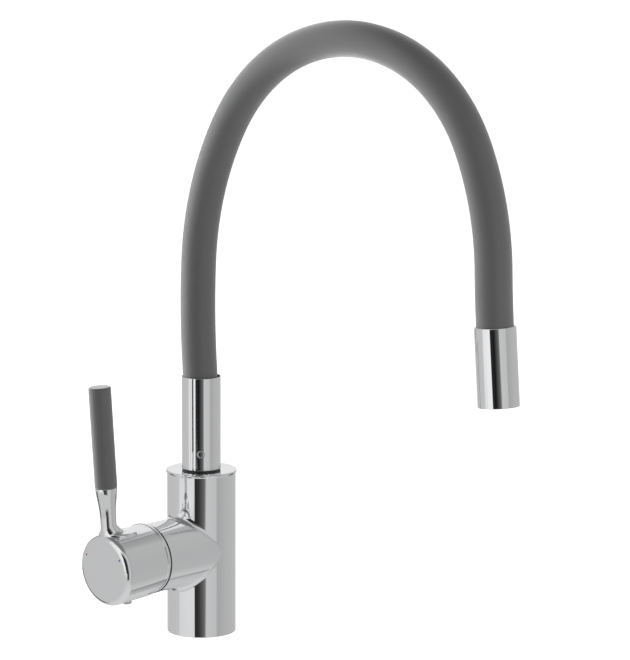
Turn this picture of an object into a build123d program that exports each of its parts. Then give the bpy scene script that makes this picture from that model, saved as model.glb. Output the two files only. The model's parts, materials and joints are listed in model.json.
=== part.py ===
from build123d import *
import os
from math import cos, radians, sin, sqrt

# Kitchen mixer tap with a self-holding arched spout. Millimetres and degrees.
# The origin is the centre of the body's base on the deck and +Z is up.
# The spout arches towards +X. The cartridge branch and its lever point towards -Y.

# Body casting
body_r = 24.5
body_height = 116.8
top_lip_r = 25.1
top_lip_height = 2.0
top_lip_edge = 0.7
base_edge = 0.5
branch_r = 24.25
branch_z = 60.4
branch_reach = 52.5
branch_edge = 0.4
crotch_fillet = 4.5

# Deck fixings under the body
inlet_side = 8.5
inlet_back = 6.0
inlet_bore_r = 3.75
inlet_thread_r = 4.5
inlet_thread_depth = 14.0
stud_back = 13.0
stud_thread_r = 3.4
stud_thread_depth = 20.0
gasket_inner_r = 21.2
gasket_outer_r = 23.4
gasket_depth = 1.8
chamber_r = 19.8
chamber_height = 34.0
inlet_boss_r = 7.0
stud_boss_r = 6.0
chamber_rib = 4.0

# Water ports between the casting and the cartridge
port_r = 3.0
port_side = 7.0
inlet_port_rise = 6.0
outlet_port_drop = 6.0
outlet_bore_r = 4.0
bore_overrun = 1.0

# Cartridge pocket in the branch, as depths behind the branch's face
pocket_depth = 28.5
pocket_r = 17.6
nut_bore_r = 19.6
nut_bore_depth = 8.5
peg_r = 1.25
peg_side = 13.0
peg_length = 2.0

# Clearances
fixed_fit = 0.05
running_fit = 0.08
disc_film = 0.02
ball_play = 0.15

# Cartridge
cartridge_r = 17.5
seal_wall = 1.7
seal_height = 1.3
seal_recess = 0.5
base_thickness = 4.0
disc_thickness = 4.0
fixed_disc_r = 13.5
moving_disc_r = 12.0
disc_pocket_depth = 2.5
disc_pocket_top_half = 9.5
disc_pocket_bottom_half = 4.5
disc_pocket_top = 4.37
disc_pocket_bottom = 9.4
disc_pocket_corner = 1.5
disc_peg_r = 1.45
disc_peg_length = 1.5
disc_peg_side = 5.0
disc_peg_rise = 7.5
carrier_half_width = 9.1
carrier_height = 5.7
carrier_floor = 1.2
housing_cavity_r = 14.2
housing_shoulder = 2.4
housing_height = 19.2
rotor_flange_r = 13.9
rotor_flange_gap = 0.5
rotor_flange_height = 2.5
rotor_neck_r = 11.5
rotor_top_reach = 7.5
rotor_edge = 0.5
rotor_slot_width = 8.3
rotor_slot_up = 7.2
rotor_slot_down = 7.6
rotor_rail_gap = 0.4
nut_height = 6.0
nut_inner_r = 12.7
nut_slot_count = 4
nut_slot_width = 5.0
nut_slot_depth = 1.2

# Lever mechanism: the handle tilts about a pin on the branch axis
pivot_gap = 2.0
rest_tilt = 2.7
rest_turn = 2.0
tilt_range = 18.0
pin_r = 2.0
pin_half = 11.0
stem_square = 8.0
stem_rear = 4.0
stem_length = 30.0
arm_r = 2.2
arm_length = 13.5
ball_r = 2.6

# Dome ring under the handle's rear edge
dome_r = 23.4
dome_wall = 1.5
dome_reach = 10.0
dome_flange_inner_r = 19.65

# Handle cap, as distances out from the pivot along its own axis
cap_r = 25.0
cap_front = 39.06
cap_front_edge = 4.3
cap_stock = 4.0
cap_seam = 0.7
cap_tilt_gap = 0.3
cap_wide_r = 23.7
cap_wide_depth = 8.5
cap_narrow_r = 22.3
cap_face_wall = 4.6
boss_r = 8.5
boss_start = 14.0
socket_play = 0.05
socket_end_gap = 1.0
screw_reach = 19.2
screw_r = 2.5
screw_length = 8.0
plug_r = 3.2
plug_seat = 22.0
plug_proud = 2.5
plug_edge = 0.8
mark_r = 0.75
mark_depth = 0.3
mark_side = 16.7
mark_up = 9.7

# Lever, as heights above the handle cap's axis and drops below its collar
lever_reach = 31.7
lever_waist_r = 5.66
lever_waist_drop = 22.0
lever_low_r = 5.92
lever_low_drop = 16.5
lever_mid_r = 6.56
lever_mid_drop = 10.8
lever_high_r = 7.4
lever_high_drop = 5.0
lever_collar_r = 7.7
lever_collar_height = 57.8
lever_flare = 8.0
flare_bury = 0.15
rod_r = 4.5
rod_height = 122.0
grip_r = 7.8
grip_top = 128.1
grip_edge = 1.2
grip_hem = 0.45
collar_edge = 0.45

# Spout swivel
nipple_r = 10.0
nipple_depth = 26.0
nipple_shoulder_r = 11.4
nipple_shoulder_height = 3.0
nipple_spigot_r = 10.5
nipple_height = 19.0
nipple_bore_r = 6.0
glide_r = 13.3
glide_height = 0.85
glide_play = 0.05
stub_r = 13.8
stub_height = 65.65
stub_mouth_r = 13.25
stub_rim = 0.22
stub_foot_edge = 0.3
stub_web_gap = 0.5
stub_web_height = 7.05
o_ring_depth = 1.6
o_ring_groove = 2.4
o_ring_low = 4.8
o_ring_high = 16.2
set_screw_rise = 11.85
set_screw_azimuth = 44.5
set_screw_r = 2.5
set_screw_tip_r = 1.7
set_screw_sink = 0.25
set_screw_key = 2.5
set_screw_key_depth = 2.0
set_groove_half = 2.0
set_groove_depth = 1.3
set_tip_gap = 0.2

# Spout hose: silicone sleeve over a wound metal liner over the water hose
sleeve_r = 12.22
sleeve_wall = 1.47
liner_r = 10.6
liner_wall = 1.9
hose_r = 8.2
hose_wall = 2.6
sleeve_run_in = 1.8

# Bends of the arch, from the stub to the nozzle. A positive turn is to the left.
foot_bend_r = 330.4
foot_bend_turn = 4.906
rise_bend_r = 555.2
rise_bend_turn = -8.115
shoulder_bend_r = 209.8
shoulder_bend_turn = -28.563
crown_bend_r = 135.2
crown_bend_turn = -75.053
fall_bend_r = 110.6
fall_bend_turn = -48.284
drop_bend_r = 193.4
drop_bend_turn = -23.391
end_bend_r = 665.4
end_bend_turn = 3.046
arch_bends = (
    (foot_bend_r, foot_bend_turn),
    (rise_bend_r, rise_bend_turn),
    (shoulder_bend_r, shoulder_bend_turn),
    (crown_bend_r, crown_bend_turn),
    (fall_bend_r, fall_bend_turn),
    (drop_bend_r, drop_bend_turn),
    (end_bend_r, end_bend_turn),
)

# Ferrules at the two ends of the hose
ferrule_r = 12.2
ferrule_cup = 12.0
ferrule_floor = 2.5
ferrule_spigot_r = 8.0
ferrule_bore_r = 4.0
outlet_spigot_r = 9.5
outlet_spigot_length = 13.0

# Nozzle, as distances down from the end of the arch
nozzle_r = 13.8
nozzle_length = 51.9
nozzle_top_edge = 0.6
nozzle_mouth_r = 12.42
nozzle_hose_depth = 8.0
nozzle_shoulder = 4.0
nozzle_bottom_edge = 0.35
adapter_height = 14.0
adapter_chamber_r = 8.0
aerator_thread_r = 12.0
aerator_gasket_height = 1.6
aerator_wall = 1.7
aerator_sink = 0.5
aerator_lip = 0.8
aerator_lip_height = 1.2
insert_height = 9.0
insert_wall = 1.0
insert_floor = 2.0
insert_hole_r = 0.85
insert_hole_pitch = 2.7
insert_hole_rings = 3

# Heights and reaches that follow from the sizes above
pocket_floor = branch_reach - pocket_depth
nut_bore_floor = branch_reach - nut_bore_depth
pivot_reach = branch_reach + pivot_gap
rotor_top = pivot_reach + rotor_top_reach
cartridge_floor = pocket_floor + seal_height - seal_recess
disc_floor = cartridge_floor + base_thickness
moving_floor = disc_floor + disc_thickness
moving_top = moving_floor + disc_thickness
rotor_floor = moving_top + carrier_height + rotor_flange_gap
housing_top = disc_floor + housing_height
outlet_floor = branch_z - outlet_port_drop - port_r - bore_overrun
nipple_floor = body_height - nipple_depth
glide_top = body_height + glide_height
stub_bottom = glide_top
stub_top = stub_bottom + stub_height
nipple_top = glide_top + nipple_height
stub_web = nipple_top + stub_web_gap
cup_floor = stub_web + stub_web_height
liner_start = cup_floor + ferrule_floor
sleeve_start = cup_floor + ferrule_cup
arch_start = sleeve_start + sleeve_run_in
nozzle_cup_floor = nozzle_hose_depth + ferrule_cup
liner_end = nozzle_cup_floor - ferrule_floor
adapter_top = nozzle_cup_floor + nozzle_shoulder
adapter_bottom = adapter_top + adapter_height
aerator_top = adapter_bottom + aerator_gasket_height
aerator_bottom = nozzle_length - aerator_sink
lever_root = cap_narrow_r
lever_waist_height = lever_collar_height - lever_waist_drop
lever_low_height = lever_collar_height - lever_low_drop
lever_mid_height = lever_collar_height - lever_mid_drop
lever_high_height = lever_collar_height - lever_high_drop
o_ring_heights = (glide_top + o_ring_low, glide_top + o_ring_high)
set_screw_height = glide_top + set_screw_rise

# Directions of the lever at rest: it leans outward and is turned a little
branch_dir = Vector(0, -1, 0)
branch_axis = Axis((0, 0, branch_z), branch_dir)
turn_axis = Axis((0, 0, 0), branch_dir)
tilt_dir = Vector(1, 0, 0).rotate(turn_axis, rest_turn)
slide_dir = Vector(0, 0, 1).rotate(turn_axis, rest_turn)
handle_out = branch_dir.rotate(Axis.X, rest_tilt).rotate(turn_axis, rest_turn)
handle_up = Vector(0, 0, 1).rotate(Axis.X, rest_tilt).rotate(turn_axis, rest_turn)
pivot = Vector(0, -pivot_reach, branch_z)
handle_axis = Axis(pivot, handle_out)
tilt_axis = Axis(pivot, tilt_dir)
relief_dir = branch_dir.rotate(Axis((0, 0, 0), tilt_dir), -tilt_range)
set_screw_dir = branch_dir.rotate(Axis.Z, set_screw_azimuth)

# The ball's height above the branch axis at rest, and the travel of the disc that it pushes up
ball_rise = arm_length * sin(radians(rest_tilt))
disc_travel = arm_length * sin(radians(rest_tilt + tilt_range)) - ball_rise
disc_drop = disc_travel / 2


def branch_at(reach):
    """Plane square to the branch: x across, y up, normal outward."""
    return Plane(origin=(0, -reach, branch_z), x_dir=(1, 0, 0), z_dir=branch_dir)


def rotor_at(reach):
    """The same plane, turned with the cartridge's rotor."""
    return Plane(origin=(0, -reach, branch_z), x_dir=tilt_dir, z_dir=branch_dir)


def handle_at(reach):
    """Plane square to the handle cap's axis: x across, y up along the lever."""
    return Plane(origin=pivot + handle_out * reach, x_dir=tilt_dir, z_dir=handle_out)


def lever_at(height):
    """Plane square to the lever at a height above the cap's axis: x across, y towards the body."""
    return Plane(origin=pivot + handle_out * lever_reach + handle_up * height, x_dir=tilt_dir, z_dir=handle_up)


# Section planes that hold an axis: x is the radius and y runs along the axis
body_section = Plane.XZ
branch_section = Plane(origin=(0, 0, branch_z), x_dir=(1, 0, 0), z_dir=(0, 0, -1))
lever_axis = Axis(pivot + handle_out * lever_reach, handle_up)

# Planes of the pivot pin, the clamping screw, the set screw and the cap's two rear cuts
pin_plane = Plane(origin=pivot, x_dir=handle_up, z_dir=tilt_dir)
screw_plane = Plane(origin=pivot + handle_out * screw_reach, x_dir=tilt_dir, z_dir=handle_up * -1)
set_screw_plane = Plane(origin=(0, 0, set_screw_height), x_dir=(0, 0, 1), z_dir=set_screw_dir)
seam_plane = Plane(origin=(0, -branch_reach - cap_seam, branch_z), x_dir=(1, 0, 0), z_dir=branch_dir)
relief_plane = Plane(
    origin=pivot + relief_dir * (branch_reach + cap_tilt_gap - pivot_reach), x_dir=tilt_dir, z_dir=relief_dir
)


def spout_path(start_height, run_out):
    """Centreline of the spout from a height in the stub to a depth in the nozzle."""
    with BuildLine(Plane.XZ) as centreline:
        bend = Line((0, start_height), (0, arch_start))
        for bend_radius, bend_turn in arch_bends:
            bend = JernArc(bend @ 1, bend % 1, bend_radius, bend_turn)
        if run_out > 0:
            Line(bend @ 1, (bend @ 1) + (bend % 1) * run_out)
    return centreline.wires()[0]


def spout_tube(start_height, run_out, outer_r, inner_r):
    """Round tube along the spout's centreline."""
    with BuildPart() as tube:
        with BuildSketch(Plane.XY.offset(start_height)):
            Circle(outer_r)
            Circle(inner_r, mode=Mode.SUBTRACT)
        sweep(path=spout_path(start_height, run_out))
    return tube.part


# The nozzle hangs from the end of the arch, in line with it
arch_line = spout_path(sleeve_start, 0)
outlet_top = arch_line @ 1
outlet_dir = arch_line % 1
outlet_across = Vector(0, 1, 0).cross(outlet_dir) * -1
nozzle_section = Plane(origin=outlet_top, x_dir=outlet_across, z_dir=(0, 1, 0))
nozzle_axis = Axis(outlet_top, outlet_dir)


def nozzle_at(depth):
    """Plane square to the nozzle at a depth below its top."""
    return Plane(origin=outlet_top + outlet_dir * depth, x_dir=outlet_across, z_dir=outlet_dir)


os.makedirs("parts", exist_ok=True)


def finish(piece, name):
    """Label a piece and write its file."""
    piece.label = name
    export_step(piece, "parts/" + name + ".step")


# Body casting with its branch, waterways, pocket and swivel seat
with BuildPart() as body_casting:
    with BuildSketch(Plane.XY):
        Circle(body_r)
    extrude(amount=body_height)
    with BuildSketch(Plane.XY.offset(body_height - top_lip_height)):
        Circle(top_lip_r)
    extrude(amount=top_lip_height)
    with BuildSketch(branch_at(0)):
        Circle(branch_r)
    extrude(amount=branch_reach)
    crotch = body_casting.edges().filter_by(GeomType.BSPLINE)
    fillet(crotch, crotch_fillet)
    fillet(body_casting.edges().filter_by(GeomType.CIRCLE).sort_by(Axis.Z)[-1], top_lip_edge)
    fillet(body_casting.edges().filter_by(GeomType.CIRCLE).sort_by(Axis.Z)[0], base_edge)
    fillet(body_casting.edges().filter_by(GeomType.CIRCLE).sort_by(Axis.Y)[0], branch_edge)
    # Cored underside round the inlet and stud bosses
    with BuildSketch(Plane.XY):
        Circle(chamber_r)
        with Locations((-inlet_side, -inlet_back), (inlet_side, -inlet_back)):
            Circle(inlet_boss_r, mode=Mode.SUBTRACT)
        with Locations((0, stud_back)):
            Circle(stud_boss_r, mode=Mode.SUBTRACT)
        Rectangle(chamber_rib, 2 * body_r, mode=Mode.SUBTRACT)
        with Locations((0, -inlet_back)):
            Rectangle(2 * body_r, chamber_rib, mode=Mode.SUBTRACT)
    extrude(amount=chamber_height, mode=Mode.SUBTRACT)
    # Cartridge pocket and nut bore
    with BuildSketch(branch_at(pocket_floor)):
        Circle(pocket_r)
    extrude(amount=branch_reach - pocket_floor, mode=Mode.SUBTRACT)
    with BuildSketch(branch_at(nut_bore_floor)):
        Circle(nut_bore_r)
    extrude(amount=branch_reach - nut_bore_floor, mode=Mode.SUBTRACT)
    with BuildSketch(branch_at(pocket_floor)):
        with Locations((-peg_side, 0), (peg_side, 0)):
            Circle(peg_r)
    extrude(amount=-peg_length, mode=Mode.SUBTRACT)
    # Inlets rise from the deck and turn into the pocket floor
    with BuildSketch(Plane.XY):
        with Locations((-inlet_side, -inlet_back), (inlet_side, -inlet_back)):
            Circle(inlet_thread_r)
    extrude(amount=inlet_thread_depth, mode=Mode.SUBTRACT)
    with BuildSketch(Plane.XY):
        with Locations((-inlet_side, -inlet_back), (inlet_side, -inlet_back)):
            Circle(inlet_bore_r)
    extrude(amount=branch_z + inlet_port_rise + port_r + bore_overrun, mode=Mode.SUBTRACT)
    with BuildSketch(branch_at(inlet_back)):
        with Locations((-port_side, inlet_port_rise), (port_side, inlet_port_rise)):
            Circle(port_r)
    extrude(amount=pocket_floor - inlet_back, mode=Mode.SUBTRACT)
    # The outlet returns to the middle and rises to the swivel
    with BuildSketch(branch_at(0)):
        with Locations((0, -outlet_port_drop)):
            Circle(port_r)
    extrude(amount=pocket_floor, mode=Mode.SUBTRACT)
    with BuildSketch(Plane.XY.offset(outlet_floor)):
        Circle(outlet_bore_r)
    extrude(amount=nipple_floor - outlet_floor, mode=Mode.SUBTRACT)
    # Swivel seat in the top
    with BuildSketch(Plane.XY.offset(nipple_floor)):
        Circle(nipple_r + fixed_fit)
    extrude(amount=nipple_depth, mode=Mode.SUBTRACT)
    with BuildSketch(Plane.XY.offset(body_height - nipple_shoulder_height)):
        Circle(nipple_shoulder_r + fixed_fit)
    extrude(amount=nipple_shoulder_height, mode=Mode.SUBTRACT)
    # Stud hole and gasket groove in the base
    with BuildSketch(Plane.XY):
        with Locations((0, stud_back)):
            Circle(stud_thread_r)
    extrude(amount=stud_thread_depth, mode=Mode.SUBTRACT)
    with BuildSketch(Plane.XY):
        Circle(gasket_outer_r)
        Circle(gasket_inner_r, mode=Mode.SUBTRACT)
    extrude(amount=gasket_depth, mode=Mode.SUBTRACT)
finish(body_casting.part, "body_casting")

# Flat rubber ring pressed into the base, flush with the deck
with BuildPart() as base_gasket:
    with BuildSketch(Plane.XY):
        Circle(gasket_outer_r)
        Circle(gasket_inner_r, mode=Mode.SUBTRACT)
    extrude(amount=gasket_depth)
finish(base_gasket.part, "base_gasket")

# Cartridge base: port plate with seal recesses and two locating pegs
port_spots = [(-port_side, inlet_port_rise), (port_side, inlet_port_rise), (0, -outlet_port_drop)]
with BuildPart() as cartridge_base:
    with BuildSketch(branch_at(cartridge_floor)):
        Circle(cartridge_r)
    extrude(amount=base_thickness)
    with BuildSketch(branch_at(cartridge_floor)):
        with Locations((-peg_side, 0), (peg_side, 0)):
            Circle(peg_r - fixed_fit)
    extrude(amount=pocket_floor - cartridge_floor - peg_length + fixed_fit)
    with BuildSketch(branch_at(cartridge_floor)):
        with Locations(*port_spots):
            Circle(port_r + seal_wall)
    extrude(amount=seal_recess, mode=Mode.SUBTRACT)
    with BuildSketch(branch_at(cartridge_floor)):
        with Locations(*port_spots):
            Circle(port_r)
    extrude(amount=base_thickness, mode=Mode.SUBTRACT)
finish(cartridge_base.part, "cartridge_base")

# Three rubber port seals between the base and the pocket floor
with BuildPart() as port_seals:
    with BuildSketch(branch_at(pocket_floor)):
        with Locations(*port_spots):
            Circle(port_r + seal_wall)
        with Locations(*port_spots):
            Circle(port_r, mode=Mode.SUBTRACT)
    extrude(amount=seal_height)
finish(port_seals.part, "port_seals")

# Fixed ceramic disc with the same three ports
with BuildPart() as fixed_disc:
    with BuildSketch(branch_at(disc_floor)):
        Circle(fixed_disc_r)
        with Locations(*port_spots):
            Circle(port_r, mode=Mode.SUBTRACT)
    extrude(amount=disc_thickness - disc_film)
finish(fixed_disc.part, "fixed_disc")

# Cartridge housing: a thin can with a shoulder that holds the rotor in
with BuildPart() as cartridge_housing:
    with BuildSketch(branch_section):
        with BuildLine():
            Polyline(
                (housing_cavity_r, disc_floor),
                (cartridge_r, disc_floor),
                (cartridge_r, housing_top),
                (rotor_neck_r + running_fit, housing_top),
                (rotor_neck_r + running_fit, housing_top - housing_shoulder),
                (housing_cavity_r, housing_top - housing_shoulder),
                close=True,
            )
        make_face()
    revolve(axis=branch_axis)
finish(cartridge_housing.part, "cartridge_housing")

# Ring nut with spanner slots, which clamps the cartridge
with BuildPart() as cartridge_nut:
    with BuildSketch(branch_at(housing_top)):
        Circle(nut_bore_r - fixed_fit)
        Circle(nut_inner_r, mode=Mode.SUBTRACT)
    extrude(amount=nut_height)
    with BuildSketch(branch_at(housing_top + nut_height)):
        with PolarLocations(nut_bore_r, nut_slot_count, start_angle=45):
            Rectangle(2 * nut_slot_width, nut_slot_width)
    extrude(amount=-nut_slot_depth, mode=Mode.SUBTRACT)
finish(cartridge_nut.part, "cartridge_nut")

# Dome ring: a ball-shaped collar that closes the gap behind the tilting handle
def dome_edge(radius, reach):
    """Point of a circle about the pivot, at a distance out along the branch."""
    return (sqrt(radius**2 - (reach - pivot_reach) ** 2), reach)


dome_top = pivot_reach + dome_reach
flange_top = branch_reach + dome_wall
dome_inner_r = dome_r - dome_wall
with BuildPart() as dome_ring:
    with BuildSketch(branch_section):
        with BuildLine():
            ThreePointArc(dome_edge(dome_r, branch_reach), (dome_r, pivot_reach), dome_edge(dome_r, dome_top))
            Line(dome_edge(dome_r, dome_top), dome_edge(dome_inner_r, dome_top))
            ThreePointArc(
                dome_edge(dome_inner_r, dome_top), (dome_inner_r, pivot_reach), dome_edge(dome_inner_r, flange_top)
            )
            Polyline(
                dome_edge(dome_inner_r, flange_top),
                (dome_flange_inner_r, flange_top),
                (dome_flange_inner_r, branch_reach),
                dome_edge(dome_r, branch_reach),
            )
        make_face()
    revolve(axis=branch_axis)
finish(dome_ring.part, "dome_ring")

# Rotor: turns in the housing with the lever and carries the pivot pin
with BuildPart() as cartridge_rotor:
    with BuildSketch(rotor_at(rotor_floor)):
        Circle(rotor_flange_r)
    extrude(amount=rotor_flange_height)
    with BuildSketch(rotor_at(rotor_floor)):
        Circle(rotor_neck_r)
    extrude(amount=rotor_top - rotor_floor)
    chamfer(cartridge_rotor.edges().sort_by(Axis.Y)[0], rotor_edge)
    with BuildSketch(rotor_at(moving_top + rotor_rail_gap)):
        Circle(rotor_flange_r)
        Rectangle(2 * (carrier_half_width + running_fit), 3 * rotor_flange_r, mode=Mode.SUBTRACT)
    extrude(amount=rotor_floor - moving_top - rotor_rail_gap)
    with BuildSketch(rotor_at(rotor_floor)):
        with Locations((0, (rotor_slot_up - rotor_slot_down) / 2)):
            Rectangle(rotor_slot_width, rotor_slot_up + rotor_slot_down)
    extrude(amount=rotor_top - rotor_floor, mode=Mode.SUBTRACT)
    with BuildSketch(pin_plane):
        Circle(pin_r + fixed_fit)
    extrude(amount=2 * rotor_neck_r, both=True, mode=Mode.SUBTRACT)
finish(cartridge_rotor.part, "cartridge_rotor")

# Pivot pin across the rotor's slot
with BuildPart() as pivot_pin:
    with BuildSketch(pin_plane):
        Circle(pin_r)
    extrude(amount=pin_half, both=True)
finish(pivot_pin.part, "pivot_pin")

# Carrier: holds the stem's ball in a square pocket and pushes the moving disc with two pegs
disc_pegs = [(-disc_peg_side, disc_peg_rise - disc_drop), (disc_peg_side, disc_peg_rise - disc_drop)]
with BuildPart() as disc_carrier:
    with BuildSketch(rotor_at(moving_top)):
        with Locations((0, -disc_drop)):
            Circle(moving_disc_r)
            Rectangle(2 * carrier_half_width, 2 * moving_disc_r, mode=Mode.INTERSECT)
    extrude(amount=carrier_height)
    with BuildSketch(rotor_at(moving_top + carrier_floor)):
        with Locations((0, ball_rise)):
            Rectangle(2 * (ball_r + ball_play), 2 * (ball_r + ball_play))
    extrude(amount=carrier_height - carrier_floor, mode=Mode.SUBTRACT)
    with BuildSketch(rotor_at(moving_top)):
        with Locations(*disc_pegs):
            Circle(disc_peg_r)
    extrude(amount=-disc_peg_length)
finish(disc_carrier.part, "disc_carrier")

# Moving ceramic disc: its underside pocket joins the inlets to the outlet when it slides up
with BuildPart() as moving_disc:
    with BuildSketch(rotor_at(moving_floor)):
        with Locations((0, -disc_drop)):
            Circle(moving_disc_r)
    extrude(amount=disc_thickness)
    with BuildSketch(rotor_at(moving_floor)) as mixing_pocket:
        with BuildLine():
            Polyline(
                (-disc_pocket_top_half, disc_pocket_top - disc_drop),
                (disc_pocket_top_half, disc_pocket_top - disc_drop),
                (disc_pocket_bottom_half, -disc_pocket_bottom - disc_drop),
                (-disc_pocket_bottom_half, -disc_pocket_bottom - disc_drop),
                close=True,
            )
        make_face()
        fillet(mixing_pocket.vertices(), disc_pocket_corner)
    extrude(amount=disc_pocket_depth, mode=Mode.SUBTRACT)
    with BuildSketch(rotor_at(moving_top)):
        with Locations(*disc_pegs):
            Circle(disc_peg_r + fixed_fit)
    extrude(amount=-disc_peg_length - fixed_fit, mode=Mode.SUBTRACT)
finish(moving_disc.part, "moving_disc")

# Cartridge stem: square bar on the pin, with an arm and ball that reach into the carrier
with BuildPart() as cartridge_stem:
    with BuildSketch(handle_at(-stem_rear)):
        Rectangle(stem_square, stem_square)
    extrude(amount=stem_rear + stem_length)
    with BuildSketch(handle_at(-arm_length)):
        Circle(arm_r)
    extrude(amount=arm_length - stem_rear)
    with Locations(handle_at(-arm_length)):
        Sphere(ball_r)
    with BuildSketch(pin_plane):
        Circle(pin_r + running_fit)
    extrude(amount=stem_square, both=True, mode=Mode.SUBTRACT)
finish(cartridge_stem.part, "cartridge_stem")

# Handle lever: hollow cap and lever stem in one casting
with BuildPart() as handle_lever:
    with BuildSketch(handle_at(-cap_stock)):
        Circle(cap_r)
    extrude(amount=cap_stock + cap_front)
    fillet(handle_lever.edges().sort_by(Axis.Y)[0], cap_front_edge)
    # Lever stem, waisted near the cap and wider at the collar under the grip
    with BuildSketch(handle_at(lever_reach)):
        with BuildLine():
            Polyline((0, lever_root), (lever_waist_r, lever_root), (lever_waist_r, lever_waist_height))
            Spline(
                (lever_waist_r, lever_waist_height),
                (lever_low_r, lever_low_height),
                (lever_mid_r, lever_mid_height),
                (lever_high_r, lever_high_height),
                (lever_collar_r, lever_collar_height - collar_edge),
                tangents=[(0, 1), (0, 1)],
            )
            Polyline(
                (lever_collar_r, lever_collar_height - collar_edge),
                (lever_collar_r - collar_edge, lever_collar_height),
                (rod_r, lever_collar_height),
                (rod_r, rod_height),
                (0, rod_height),
                (0, lever_root),
            )
        make_face()
    revolve(axis=lever_axis)
    # Flare where the stem leaves the cap: it starts just inside the stem, widens towards the body
    # on a quarter round, and stays straight at the front
    for flare_turn in (0, 25, 45, 62, 80):
        flare_widening = lever_flare * (1 - cos(radians(flare_turn)))
        with BuildSketch(lever_at(cap_r + lever_flare * (1 - sin(radians(flare_turn))))):
            with Locations((0, flare_widening)):
                Circle(lever_waist_r - flare_bury + flare_widening)
    with BuildSketch(lever_at(lever_root)):
        with Locations((0, lever_flare)):
            Circle(lever_waist_r - flare_bury + lever_flare)
    loft()
    # Hollow inside, with the boss that takes the cartridge stem
    with BuildSketch(handle_at(-cap_stock)):
        Circle(cap_wide_r)
    extrude(amount=cap_stock + cap_wide_depth, mode=Mode.SUBTRACT)
    with BuildSketch(handle_at(cap_wide_depth)):
        Circle(cap_narrow_r)
    extrude(amount=cap_front - cap_face_wall - cap_wide_depth, mode=Mode.SUBTRACT)
    with BuildSketch(handle_at(boss_start)):
        Circle(boss_r)
    extrude(amount=cap_front - cap_face_wall - boss_start)
    with BuildSketch(handle_at(boss_start)):
        Rectangle(stem_square + 2 * socket_play, stem_square + 2 * socket_play)
    extrude(amount=stem_length + socket_end_gap - boss_start, mode=Mode.SUBTRACT)
    # Clamping screw's thread in the boss and the plug's hole in the wall
    with BuildSketch(screw_plane):
        Circle(screw_r)
    extrude(amount=boss_r + screw_r, mode=Mode.SUBTRACT)
    with BuildSketch(screw_plane.offset(plug_seat)):
        Circle(plug_r)
    extrude(amount=cap_r, mode=Mode.SUBTRACT)
    with BuildSketch(handle_at(cap_front)):
        with Locations((-mark_side, mark_up), (mark_side, mark_up)):
            Circle(mark_r)
    extrude(amount=-mark_depth, mode=Mode.SUBTRACT)
    # The rear edge is parallel to the branch face at rest, and its lower part at full tilt
    split(bisect_by=seam_plane, keep=Keep.TOP)
    split(bisect_by=relief_plane, keep=Keep.TOP)
finish(handle_lever.part, "handle_lever")

# Silicone grip on the lever's rod
with BuildPart() as lever_grip:
    with BuildSketch(lever_at(lever_collar_height)):
        Circle(grip_r)
    extrude(amount=grip_top - lever_collar_height)
    fillet(lever_grip.edges().sort_by(Axis.Z)[-1], grip_edge)
    fillet(lever_grip.edges().sort_by(Axis.Z)[0], grip_hem)
    with BuildSketch(lever_at(lever_collar_height)):
        Circle(rod_r)
    extrude(amount=rod_height - lever_collar_height, mode=Mode.SUBTRACT)
finish(lever_grip.part, "lever_grip")

# Grub screw with a hexagon socket, through the boss onto the stem
with BuildPart() as handle_screw:
    with BuildSketch(screw_plane.offset(stem_square / 2)):
        Circle(screw_r - fixed_fit)
    extrude(amount=screw_length)
    with BuildSketch(screw_plane.offset(stem_square / 2 + screw_length)):
        RegularPolygon(set_screw_key / 2, 6, major_radius=False)
    extrude(amount=-set_screw_key_depth, mode=Mode.SUBTRACT)
finish(handle_screw.part, "handle_screw")

# Plug that closes the screw's hole under the cap
with BuildPart() as screw_plug:
    with BuildSketch(screw_plane.offset(plug_seat)):
        Circle(plug_r)
    extrude(amount=cap_r + plug_proud - plug_seat)
    fillet(screw_plug.edges().filter_by(GeomType.CIRCLE).sort_by(Axis.Z)[0], plug_edge)
finish(screw_plug.part, "screw_plug")

# Temperature marks: enamel dots let into the cap's face
for mark_name, mark_place in (("hot_mark", -mark_side), ("cold_mark", mark_side)):
    with BuildPart() as mark:
        with BuildSketch(handle_at(cap_front)):
            with Locations((mark_place, mark_up)):
                Circle(mark_r)
        extrude(amount=-mark_depth)
    finish(mark.part, mark_name)

# Swivel nipple screwed into the body, with two seal grooves and the set screw's groove
with BuildPart() as swivel_nipple:
    with BuildSketch(body_section):
        with BuildLine():
            Polyline(
                (nipple_bore_r, nipple_floor),
                (nipple_r, nipple_floor),
                (nipple_r, body_height - nipple_shoulder_height),
                (nipple_shoulder_r, body_height - nipple_shoulder_height),
                (nipple_shoulder_r, body_height),
                (nipple_spigot_r, body_height),
                (nipple_spigot_r, nipple_top),
                (nipple_bore_r, nipple_top),
                close=True,
            )
        make_face()
    revolve(axis=Axis.Z)
    for ring_height in o_ring_heights:
        with BuildSketch(Plane.XY.offset(ring_height - o_ring_groove / 2)):
            Circle(nipple_spigot_r)
            Circle(nipple_spigot_r - o_ring_depth, mode=Mode.SUBTRACT)
        extrude(amount=o_ring_groove, mode=Mode.SUBTRACT)
    with BuildSketch(Plane.XY.offset(set_screw_height - set_groove_half)):
        Circle(nipple_spigot_r)
        Circle(nipple_spigot_r - set_groove_depth, mode=Mode.SUBTRACT)
    extrude(amount=2 * set_groove_half, mode=Mode.SUBTRACT)
finish(swivel_nipple.part, "swivel_nipple")

# Two O-rings in the nipple's grooves
with BuildPart() as swivel_o_rings:
    for ring_height in o_ring_heights:
        with Locations((0, 0, ring_height)):
            Torus(nipple_spigot_r - o_ring_depth / 2, o_ring_depth / 2)
finish(swivel_o_rings.part, "swivel_o_rings")

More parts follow.
